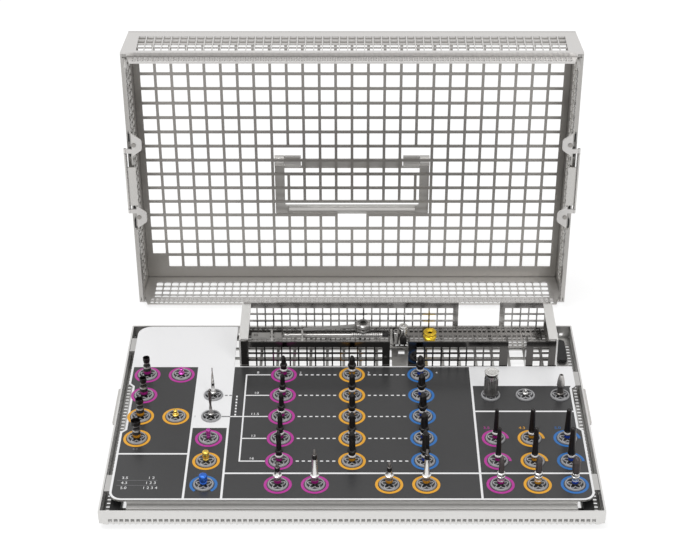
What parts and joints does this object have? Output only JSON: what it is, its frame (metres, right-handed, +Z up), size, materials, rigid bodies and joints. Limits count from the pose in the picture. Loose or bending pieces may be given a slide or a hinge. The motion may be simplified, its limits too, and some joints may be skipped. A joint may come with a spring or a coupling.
{
  "type": "instrument sterilisation tray",
  "caption": "Steel surgical kit tray with a printed plate of standing drills and drivers, a tool compartment, and a perforated lid with handle and latches standing behind it.",
  "frame": {"origin": "middle of the footprint on the table, at the feet's undersides", "axes": "+X to the right along the tray's width, +Y from the tray's front towards the standing lid, +Z up"},
  "size_m": [0.2874, 0.2666, 0.1834],
  "materials": {
    "tray_steel": "satin bead-blasted stainless sheet",
    "compartment_steel": "satin stainless sheet, perforated",
    "lid_steel": "satin stainless sheet, perforated",
    "polished_steel": "finely brushed",
    "black_rubber": "matt black silicone",
    "printed_plate": "printed stainless plate, dark grey zones with white borders",
    "holder_silicone": "matt grey silicone",
    "tool_steel": "satin",
    "dark_steel": "black low-glare coating",
    "gold_anodised": "gold anodised, glossy",
    "magenta_anodised": "magenta anodised, glossy",
    "blue_anodised": "blue anodised, glossy",
    "driver_steel": "satin with coloured bands"
  },
  "bodies": {
    "base": {"base_floor": "tray_steel", "base_front_wall": "tray_steel", "base_rear_wall": "tray_steel", "base_left_wall": "tray_steel", "base_right_wall": "tray_steel", "latch_receiver_left": "tray_steel", "latch_receiver_right": "tray_steel", "base_feet": "black_rubber"},
    "inner_tray": {"instrument_plate": "printed_plate", "plate_legs": "tray_steel", "instrument_holders": "holder_silicone", "compartment_front_wall": "compartment_steel", "compartment_rear_wall": "compartment_steel", "compartment_left_wall": "compartment_steel", "compartment_right_wall": "compartment_steel", "compartment_shelf": "compartment_steel", "wire_clips": "compartment_steel"},
    "lid": {"lid_panel": "lid_steel", "lid_top_wall": "lid_steel", "lid_bottom_wall": "lid_steel", "lid_left_wall": "lid_steel", "lid_right_wall": "lid_steel", "latch_brackets": "lid_steel", "latch_rivets": "lid_steel", "latch_pads": "black_rubber", "latch_pins": "lid_steel", "hinge_knuckles": "lid_steel", "handle_pins": "lid_steel"},
    "handle": {"handle": "polished_steel"},
    "latch_left": {"latch_left": "polished_steel"},
    "latch_right": {"latch_right": "polished_steel"},
    "wrench": {"wrench_body": "tool_steel", "wrench_head": "tool_steel", "wrench_spring_bar": "tool_steel"},
    "flat_spanner": {"flat_spanner": "tool_steel"},
    "driver_adapter": {"driver_adapter": "tool_steel"},
    "adapter_bit": {"adapter_bit": "dark_steel"},
    "gold_guide": {"gold_guide": "gold_anodised"},
    "bone_mills": {"bone_mill_1": "dark_steel", "bone_mill_2": "dark_steel", "bone_mill_3": "dark_steel", "bone_mill_4": "dark_steel"},
    "guides": {"guide_narrow": "magenta_anodised", "guide_regular": "gold_anodised"},
    "pilot_drills": {"precision_drill": "tool_steel", "twist_drill": "tool_steel"},
    "indicators": {"indicator_narrow": "magenta_anodised", "indicator_regular": "gold_anodised", "indicator_wide": "blue_anodised"},
    "tapered_narrow": {"tapered_drills_narrow": "dark_steel"},
    "tapered_regular": {"tapered_drills_regular": "dark_steel"},
    "tapered_wide": {"tapered_drills_wide": "dark_steel"},
    "implant_drivers": {"implant_drivers_narrow": "driver_steel", "implant_drivers_regular": "driver_steel"},
    "screwdrivers": {"knurled_screwdriver": "driver_steel", "machine_screwdriver": "tool_steel", "drill_extension": "tool_steel"},
    "dense_drills": {"dense_bone_drills": "dark_steel"},
    "taps": {"screw_taps": "driver_steel"}
  },
  "joints": [
    {"name": "lid_swing", "type": "hinge", "parent": "base", "child": "lid", "pos_m": [0, 0.06165, -0.0123], "axis": [-1, 0, 0], "range_deg": [-90, 0]},
    {"name": "inner_tray_lift", "type": "slide", "parent": "base", "child": "inner_tray", "axis": [0, 0, 1], "range_m": [0, 0.04]},
    {"name": "handle_swing", "type": "hinge", "parent": "lid", "child": "handle", "pos_m": [0, 0.12955, 0.0886], "axis": [1, 0, 0], "range_deg": [0, 95]},
    {"name": "latch_left_swing", "type": "hinge", "parent": "lid", "child": "latch_left", "pos_m": [-0.14275, 0.08875, 0.0966], "axis": [0, 0, 1], "range_deg": [0, 180]},
    {"name": "latch_right_swing", "type": "hinge", "parent": "lid", "child": "latch_right", "pos_m": [0.14275, 0.08875, 0.0966], "axis": [0, 0, -1], "range_deg": [0, 180]},
    {"name": "wrench_lift", "type": "slide", "parent": "inner_tray", "child": "wrench", "axis": [0, 0, 1], "range_m": [0, 0.035]},
    {"name": "flat_spanner_lift", "type": "slide", "parent": "inner_tray", "child": "flat_spanner", "axis": [0, 0, 1], "range_m": [0, 0.035]},
    {"name": "driver_adapter_lift", "type": "slide", "parent": "inner_tray", "child": "driver_adapter", "axis": [0, 0, 1], "range_m": [0, 0.035]},
    {"name": "adapter_bit_lift", "type": "slide", "parent": "inner_tray", "child": "adapter_bit", "axis": [0, 0, 1], "range_m": [0, 0.035]},
    {"name": "gold_guide_lift", "type": "slide", "parent": "inner_tray", "child": "gold_guide", "axis": [0, 0, 1], "range_m": [0, 0.035]},
    {"name": "bone_mills_lift", "type": "slide", "parent": "inner_tray", "child": "bone_mills", "axis": [0, 0, 1], "range_m": [0, 0.035]},
    {"name": "guides_lift", "type": "slide", "parent": "inner_tray", "child": "guides", "axis": [0, 0, 1], "range_m": [0, 0.035]},
    {"name": "pilot_drills_lift", "type": "slide", "parent": "inner_tray", "child": "pilot_drills", "axis": [0, 0, 1], "range_m": [0, 0.035]},
    {"name": "indicators_lift", "type": "slide", "parent": "inner_tray", "child": "indicators", "axis": [0, 0, 1], "range_m": [0, 0.035]},
    {"name": "tapered_narrow_lift", "type": "slide", "parent": "inner_tray", "child": "tapered_narrow", "axis": [0, 0, 1], "range_m": [0, 0.035]},
    {"name": "tapered_regular_lift", "type": "slide", "parent": "inner_tray", "child": "tapered_regular", "axis": [0, 0, 1], "range_m": [0, 0.035]},
    {"name": "tapered_wide_lift", "type": "slide", "parent": "inner_tray", "child": "tapered_wide", "axis": [0, 0, 1], "range_m": [0, 0.035]},
    {"name": "implant_drivers_lift", "type": "slide", "parent": "inner_tray", "child": "implant_drivers", "axis": [0, 0, 1], "range_m": [0, 0.035]},
    {"name": "screwdrivers_lift", "type": "slide", "parent": "inner_tray", "child": "screwdrivers", "axis": [0, 0, 1], "range_m": [0, 0.035]},
    {"name": "dense_drills_lift", "type": "slide", "parent": "inner_tray", "child": "dense_drills", "axis": [0, 0, 1], "range_m": [0, 0.035]},
    {"name": "taps_lift", "type": "slide", "parent": "inner_tray", "child": "taps", "axis": [0, 0, 1], "range_m": [0, 0.035]}
  ]
}
